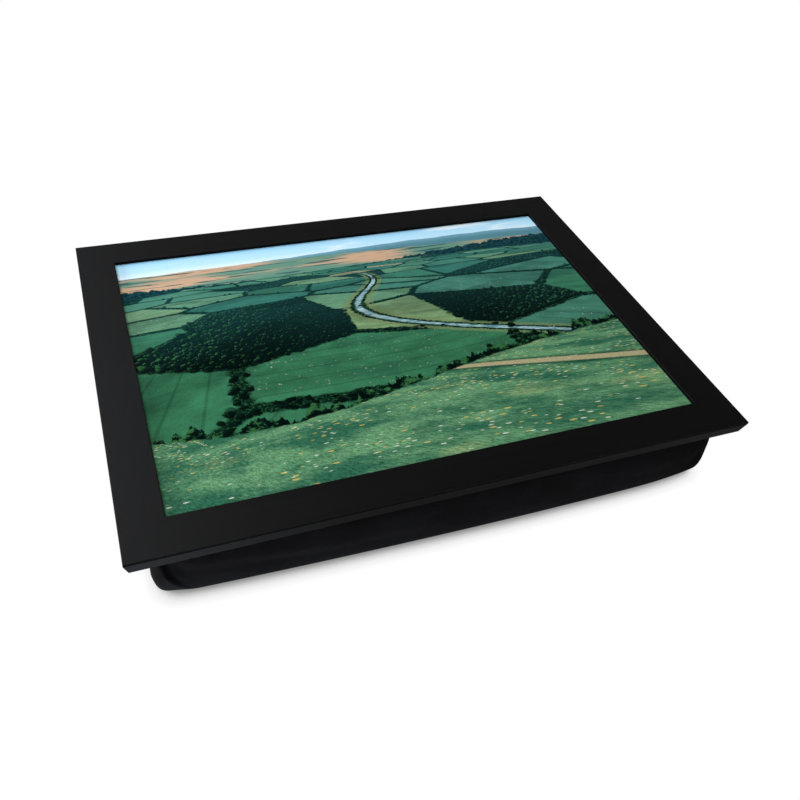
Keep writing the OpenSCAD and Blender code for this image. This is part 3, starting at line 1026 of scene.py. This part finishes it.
def sew_cover(points):
    """Presses the seam and the corners' creases into the cover, and lays long pulls along its sides."""
    points = fold_corners(points)
    direction = outward(points)
    z = points[:, 2]
    side = 1 - smooth_step(z, COVER_TOP - RIM_EASE, COVER_TOP)
    folded = side * smooth_step(z, QUIET_EDGE * 0.3, QUIET_EDGE)
    out = np.zeros(len(points))

    # Long pulls, which run almost level
    along = points[:, 0] * np.abs(direction[:, 1]) + points[:, 1] * np.abs(direction[:, 0])
    places = np.stack((along / PULL_LENGTH, (z + along * PULL_SLANT) / PULL_HEIGHT,
                       direction[:, 0] * 2 + direction[:, 1] * 5), axis=1)
    out += ripple(places, 1.0, seed=3) * PULL_DEPTH * folded + level_folds(points, direction) * side

    # Seam just below the rim
    from_seam = z - RIM_SEAM_Z
    groove = np.exp(-(from_seam / SEAM_WIDTH) ** 2)
    below = np.exp(-np.maximum(-from_seam, 0) / PUCKER_REACH) * (z < COVER_TOP - 0.2 * MM)
    pucker = ripple(points * (1, 1, 0.25), PUCKER_SIZE, seed=5) * below
    on_side = smooth_step(COVER_TOP - z, 0.05 * MM, 0.6 * MM)
    out += (pucker * PUCKER_DEPTH - groove * SEAM_DEPTH) * on_side

    moved = points.copy()
    moved[:, :2] += direction * out[:, None]
    return moved


# How far the top rises between the strips, the size of its waves, and how far from the strips and from the
# opening's edge it has risen fully
CROWN_RISE = 1.5 * MM
CROWN_SIZE = 34 * MM
CROWN_CLEAR = 30 * MM
# The same for the low waves of the base
FOOT_RISE = 0.8 * MM
FOOT_SIZE = 26 * MM
FOOT_CLEAR = 25 * MM
# How far inside the print's edge the cover may rise, and where the rails hold it down
OPENING_INSET = 4 * MM
RAIL_REACH = 8 * MM


def rest_cover(points):
    """Keeps the cover above the floor, under the rails and level under the strips."""
    top = points[:, 2] > COVER_TOP - 1.5 * MM
    x = np.abs(points[:, 0])
    y = np.abs(points[:, 1])
    low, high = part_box("loop_strip_front_left")
    gap_x = np.maximum(np.maximum(-high.x - x, x + low.x), 0)
    gap_y = np.maximum(np.maximum(-high.y - y, y + low.y), 0)
    clear = smooth_step(np.hypot(gap_x, gap_y), 3 * MM, CROWN_CLEAR)
    room = np.minimum(PRINT_HIGH.x - OPENING_INSET - x, PRINT_HIGH.y - OPENING_INSET - y)
    crown = clear * smooth_step(room, 0.0, CROWN_CLEAR)
    waves = ripple(points * (1, 1, 0), CROWN_SIZE, seed=11) * 0.5 + 0.7
    points[top, 2] += (crown * waves * CROWN_RISE)[top]
    foot = points[:, 2] < 2 * MM
    lift = np.maximum(ripple(points * (1, 1, 0), FOOT_SIZE, seed=13), 0)
    lift *= smooth_step(room_inside(points), 0.0, FOOT_CLEAR)
    points[foot, 2] += (lift * FOOT_RISE)[foot]
    points[:, 2] = np.maximum(points[:, 2], 0)
    under_rail = (x > PRINT_HIGH.x - RAIL_REACH) | (y > PRINT_HIGH.y - RAIL_REACH)
    points[:, 2] = np.where(under_rail, np.minimum(points[:, 2], COVER_TOP), points[:, 2])
    return points


def padded_piece(name, points, faces, material):
    """One of the cushion's two closed forms, smoothed, in its place on the cushion."""
    piece = new_piece(name, points, faces, material)
    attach(piece, "cushion")
    return piece


def cushion_cover(material):
    """The whole cover, top and sides, swollen by its beads and pulled in at its seams."""
    points, faces = cushion_form()
    piece = padded_piece("cushion_cover", points, faces, material)
    move = folds_only(settle_cloth(piece, points) - points)
    points += move * smooth_step(points[:, 2], QUIET_EDGE * 0.2, QUIET_EDGE)[:, None]
    set_coordinates(piece.data, points)
    subdivide(piece)
    set_coordinates(piece.data, rest_cover(sew_cover(coordinates(piece.data))))
    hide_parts("cushion_top_panel", "cushion_lower_cover")
    return points, faces


# How far the heap of beads lies inside the cover, and the depth and size of its lumps
FILL_DEPTH = 2.6 * MM
LUMP_DEPTH = 0.5 * MM
LUMP_SIZE = 5 * MM


def bead_heap(points, faces, material):
    """The bean filling: the outside of a heap of small foam beads that fills the cover."""
    piece = padded_piece("bead_heap", rest_cover(sew_cover(points)), faces, material)
    skin = coordinates(piece.data)
    depth = FILL_DEPTH + ripple(skin, LUMP_SIZE, seed=21) * LUMP_DEPTH
    set_coordinates(piece.data, skin - coordinates(piece.data, "normal") * depth[:, None])
    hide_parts("bead_filling")


# Hook and loop tapes

# Thickness of the hook tape's back and its chamfer, and the pitch, thickness and reach of its hooks
TAPE_BACK = 0.7 * MM
TAPE_CHAMFER = 0.12 * MM
HOOK_PITCH = 1.9 * MM
HOOK_THICK = 0.22 * MM
HOOK_REACH = 0.5 * MM
# Line of a hook, in shares of its reach and of its height, from inside the tape to its tip
HOOK_BEND = ((0, -0.15), (0, 0.55), (0.35, 0.93), (0.8, 0.97), (1.1, 0.66))
# How far the tape's edge stays clear of hooks
HOOK_BORDER = 1.6 * MM
# Corner radius of the strips
STRIP_R = 3 * MM


def rounded_outline(low, high, radius, steps=6):
    """Plan of a rectangle with rounded corners, anticlockwise."""
    points = []
    left, right = low.x + radius, high.x - radius
    front, back = low.y + radius, high.y - radius
    for x, y, start in ((right, back, 0), (left, back, 90), (left, front, 180), (right, front, 270)):
        points += arc(x, y, radius, start, 90, steps, whole=True)
    return points


def plate(outline, z_low, z_high, edge):
    """A flat plate over an outline, with a small chamfer of the given size round its two faces."""
    middle = np.mean(outline, axis=0)
    inner = [tuple(p + (middle - p) / np.linalg.norm(middle - p) * edge) for p in np.array(outline)]
    count = len(outline)
    layers = ((inner, z_low), (outline, z_low + edge), (outline, z_high - edge), (inner, z_high))
    points = [(x, y, z) for ring, z in layers for x, y in ring]
    faces = [tuple(range(count))[::-1], tuple(range(3 * count, 4 * count))]
    for layer in range(3):
        for i in range(count):
            after = (i + 1) % count
            low = layer * count
            faces.append((low + i, low + after, low + count + after, low + count + i))
    return points, faces


def tube(line, thickness, sides=4):
    """A tube along a line of points that lies in one upright plane, with its ends closed."""
    line = np.array(line)
    points = []
    faces = []
    for i, place in enumerate(line):
        run = line[min(i + 1, len(line) - 1)] - line[max(i - 1, 0)]
        run = run / np.linalg.norm(run)
        across = np.cross(run, (0, 0, 1)) if abs(run[2]) < 0.9 else np.array((0.0, 1.0, 0.0))
        across = across / np.linalg.norm(across)
        over = np.cross(across, run)
        for k in range(sides):
            angle = 2 * math.pi * (k + 0.5) / sides
            points.append(place + (across * math.cos(angle) + over * math.sin(angle)) * thickness / 2)
    for i in range(len(line) - 1):
        for k in range(sides):
            after = (k + 1) % sides
            low = i * sides
            faces.append((low + k, low + sides + k, low + sides + after, low + after))
    faces.append(tuple(range(sides)))
    faces.append(tuple(range((len(line) - 1) * sides, len(line) * sides))[::-1])
    return points, faces


def gather(parts):
    """One list of points and faces from several."""
    points = []
    faces = []
    for more_points, more_faces in parts:
        faces += [tuple(i + len(points) for i in face) for face in more_faces]
        points += [tuple(p) for p in more_points]
    return points, faces


def hook_piece(corner, material):
    """A hook tape: its back lies against the board, and its rows of bent hooks point down."""
    low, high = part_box("hook_strip_" + corner)
    back_z = high.z - TAPE_BACK
    parts = [plate(rounded_outline(low, high, STRIP_R), back_z, high.z, TAPE_CHAMFER)]
    columns = int((high.x - low.x - 2 * HOOK_BORDER) / HOOK_PITCH)
    rows = int((high.y - low.y - 2 * HOOK_BORDER) / HOOK_PITCH)
    fall = back_z - low.z - HOOK_THICK / 2
    for row in range(rows + 1):
        for column in range(columns + 1):
            x = (low.x + high.x) / 2 + (column - columns / 2) * HOOK_PITCH
            y = (low.y + high.y) / 2 + (row - rows / 2) * HOOK_PITCH
            turn = 1 if (row + column) % 2 else -1
            line = [(x + turn * (share - 0.5) * HOOK_REACH, y, back_z - fall * drop)
                    for share, drop in HOOK_BEND]
            parts.append(tube(line, HOOK_THICK))
    piece = new_piece("hook_tape_" + corner, *gather(parts), material, smooth=False)
    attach(piece, "tray")
    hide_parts("hook_strip_" + corner)


# Stitches that hold the loop strips: distance from the edge, pitch, length and thickness of the thread
STITCH_INSET = 2.2 * MM
STITCH_PITCH = 2.9 * MM
STITCH_LENGTH = 2.3 * MM
STITCH_THICK = 0.42 * MM


def stitch(x, y, turn):
    """One stitch, arched up out of the tape and down into it again."""
    line = []
    for share in (-0.5, -0.36, -0.15, 0.15, 0.36, 0.5):
        reach = share * STITCH_LENGTH
        z = LOOP_TOP - STITCH_THICK * (0.05 + 3.4 * share * share)
        line.append((x + reach * math.cos(turn), y + reach * math.sin(turn), z))
    return tube(line, STITCH_THICK, sides=6)


def stitch_rows(corner, material):
    """Stitches round the edge of a loop strip."""
    low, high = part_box("loop_strip_" + corner)
    inset = Vector((STITCH_INSET, STITCH_INSET, 0))
    low, high = low + inset, high - inset
    corners = ((low.x, low.y), (high.x, low.y), (high.x, high.y), (low.x, high.y))
    parts = []
    for start, stop in zip(corners, corners[1:] + corners[:1]):
        run = math.dist(start, stop)
        turn = math.atan2(stop[1] - start[1], stop[0] - start[0])
        count = round(run / STITCH_PITCH)
        for i in range(count):
            share = (i + 0.5) / count
            x, y = (start[k] + (stop[k] - start[k]) * share for k in (0, 1))
            parts.append(stitch(x, y, turn))
    piece = new_piece("stitches_" + corner, *gather(parts), material)
    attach(piece, "cushion")


# Stage, lights and camera

# Half the floor's side, and the backdrop's radius, height and number of sides
FLOOR_HALF = 9.0
BACKDROP_R = 8.0
BACKDROP_H = 2.0
BACKDROP_SIDES = 48
# How light the floor and the backdrop are to the light that they pass on
STAGE_TONE = 0.8
# How far off the floor darkens next to the object
SHADOW_REACH = 0.014
# The wider soft shade, painted into the floor, which only shows in the gloss of the object's sides: how far
# it reaches, how far its darkest part spreads out to the right, its darkest tone and its light, and between
# which places along X it is painted lighter towards the lamp on the left, and how much
SHADE_REACH = 0.20
SHADE_SPREAD = 0.13
SHADE_TONE = 0.22
SHADE_LIGHT = (0.85, 0.90, 1.0, 1.0)
SHADE_LIT = (0.04, -0.26)
SHADE_LIFT = 0.74
# Tones of the floor by the share of open sky over it
SHADOW_TONES = ((0.28, 0.26), (0.37, 0.44), (0.50, 0.70), (0.66, 0.89), (0.92, 1.0))


def grey(tone):
    """The grey of this linear tone."""
    return (tone, tone, tone, 1.0)


def contact_shadow(ink):
    """White, darkened close to whatever stands on the floor."""
    open_sky = ink.made("ShaderNodeAmbientOcclusion", {"Distance": SHADOW_REACH}, "AO", samples=16)
    return ink.tones(open_sky, [(place, grey(tone)) for place, tone in SHADOW_TONES])


def soft_shade(ink):
    """The floor as the object's gloss shows it: light, and darker the nearer it is to the tray's outline."""
    x, y, _ = ink.here()
    past_x = (x - FRAME_HIGH.x - SHADE_SPREAD).most(x * -1 - FRAME_HIGH.x).most(0.0)
    past_y = (y.abs() - FRAME_HIGH.y).most(0.0)
    away = (past_x * past_x + past_y * past_y).root()
    # Painted light: the floor is made lighter towards the left, where the left lamp stands
    lit = 1 - x.step(SHADE_LIT[1], SHADE_LIT[0])
    light = away.step(0.0, SHADE_REACH).most(lit * lit * SHADE_LIFT)
    return ink.blend(grey(SHADE_TONE), SHADE_LIGHT, light)


def white_stage(name, keeps_shadow):
    """A floor or backdrop that shows as white; the floor darkens where the object closes it in."""
    ink = Ink(name)
    path = ink.node("ShaderNodeLightPath")
    rays = ("Is Camera Ray", "Is Glossy Ray", "Is Transmission Ray")
    in_view, in_gloss, behind_glass = (Val(ink, path.outputs[ray]) for ray in rays)
    light = ink.blend(contact_shadow(ink), soft_shade(ink), in_gloss) if keeps_shadow else grey(1.0)
    plain = ink.made("ShaderNodeBsdfDiffuse", {"Color": grey(STAGE_TONE)})
    bright = ink.made("ShaderNodeEmission", {"Color": light})
    seen = in_view.most(in_gloss).most(behind_glass)
    front = ink.made("ShaderNodeMixShader", (seen, plain, bright))
    from_behind = ink.made("ShaderNodeNewGeometry", output="Backfacing")
    clear = ink.made("ShaderNodeBsdfTransparent")
    return ink.ended(ink.made("ShaderNodeMixShader", (from_behind, front, clear)))


def add_stage():
    """A white floor, and a low white backdrop all round that the tray's top doesn't mirror."""
    half = FLOOR_HALF
    square = [(-half, -half, 0), (half, -half, 0), (half, half, 0), (-half, half, 0)]
    floor = new_piece("floor", square, [(0, 1, 2, 3)], white_stage("floor_white", True))
    count = BACKDROP_SIDES
    points = [(x, y, z) for z in (0, BACKDROP_H) for x, y in arc(0, 0, BACKDROP_R, 0, 360, count)]
    faces = [((i + 1) % count, i, count + i, count + (i + 1) % count) for i in range(count)]
    backdrop = new_piece("backdrop", points, faces, white_stage("backdrop_white", False))


# Lamps: name, place, size, power and colour, and whether glossy surfaces mirror them. The low lamp would
# glare in the print for a camera on its other side.
LAMPS = (
    ("top_lamp", (-0.25, -0.25, 2.3), 1.4, 21.5, (1.0, 1.0, 0.96), True),
    ("back_left_lamp", (-0.97, 1.15, 1.55), 1.3, 33.5, (0.92, 0.94, 1.0), True),
    ("left_lamp", (-1.25, -0.37, 0.27), 0.5, 26.5, (0.84, 0.87, 1.0), False),
)
# How light the studio above the backdrop is to the object
WORLD_LIGHT = 0.06


def add_lights():
    """The lamps, each turned to the middle of the frame."""
    for name, place, size, power, colour, in_gloss in LAMPS:
        light = bpy.data.lights.new(name, "AREA")
        light.shape = "DISK"
        light.size = size
        light.energy = power
        light.color = colour
        lamp = bpy.data.objects.new(name, light)
        lamp.location = place
        lamp.rotation_euler = Vector(place).to_track_quat("Z", "Y").to_euler()
        lamp.visible_glossy = in_gloss
        bpy.context.scene.collection.objects.link(lamp)


def add_world():
    """A dark studio, which the camera sees as white."""
    world = bpy.data.worlds.new("studio")
    world.use_nodes = True
    sky = world.node_tree.nodes["Background"]
    sky.inputs["Color"].default_value = (1.0, 1.0, 1.0, 1.0)
    path = world.node_tree.nodes.new("ShaderNodeLightPath")
    strength = world.node_tree.nodes.new("ShaderNodeMath")
    strength.operation = "MAXIMUM"
    strength.inputs[1].default_value = WORLD_LIGHT
    world.node_tree.links.new(path.outputs["Is Camera Ray"], strength.inputs[0])
    world.node_tree.links.new(strength.outputs[0], sky.inputs["Strength"])
    bpy.context.scene.world = world


def add_camera():
    """The camera that sees the tray as the photograph does."""
    yaw, pitch, roll = (math.radians(a) for a in (CAMERA_YAW, CAMERA_PITCH, CAMERA_ROLL))
    forward = Vector((math.sin(yaw) * math.cos(pitch), math.cos(yaw) * math.cos(pitch), math.sin(pitch)))
    right = forward.cross(Vector((0, 0, 1))).normalized()
    up = right.cross(forward)
    turned_right = right * math.cos(roll) + up * math.sin(roll)
    turned_up = up * math.cos(roll) - right * math.sin(roll)
    camera = bpy.data.objects.new("camera", bpy.data.cameras.new("camera"))
    camera.matrix_world = (Matrix.Translation(CAMERA_PLACE)
                           @ Matrix((turned_right, turned_up, -forward)).transposed().to_4x4())
    camera.data.lens = CAMERA_LENS
    camera.data.shift_x, camera.data.shift_y = CAMERA_SHIFT
    bpy.context.scene.collection.objects.link(camera)
    bpy.context.scene.camera = camera


def dress_nodes():
    """Gives each solid that stays its material."""
    dress(wood("stained_wood_long", along_y=False), "front_rail", "back_rail")
    dress(wood("stained_wood_short", along_y=True), "left_rail", "right_rail")
    dress(steel("bright_steel"), "corner_v_nails", "board_points")
    dress(print_sheet("laminated_print"), "picture_laminate")
    dress(fibreboard("pressed_board"), "base_board")
    dress(loop_tape("loop_pile"), *("loop_strip_" + corner for corner in CORNERS))


add_camera()
add_lights()
add_world()
add_stage()
dress_nodes()
cover_points, cover_faces = cushion_cover(cushion_cloth("brushed_cloth"))
bead_heap(cover_points, cover_faces, bead_skin("foam_beads"))
hooks = hook_tape("hook_nylon")
sewing = thread("sewing_thread")
for corner in CORNERS:
    hook_piece(corner, hooks)
    stitch_rows(corner, sewing)
bpy.context.scene.view_settings.view_transform = "Standard"
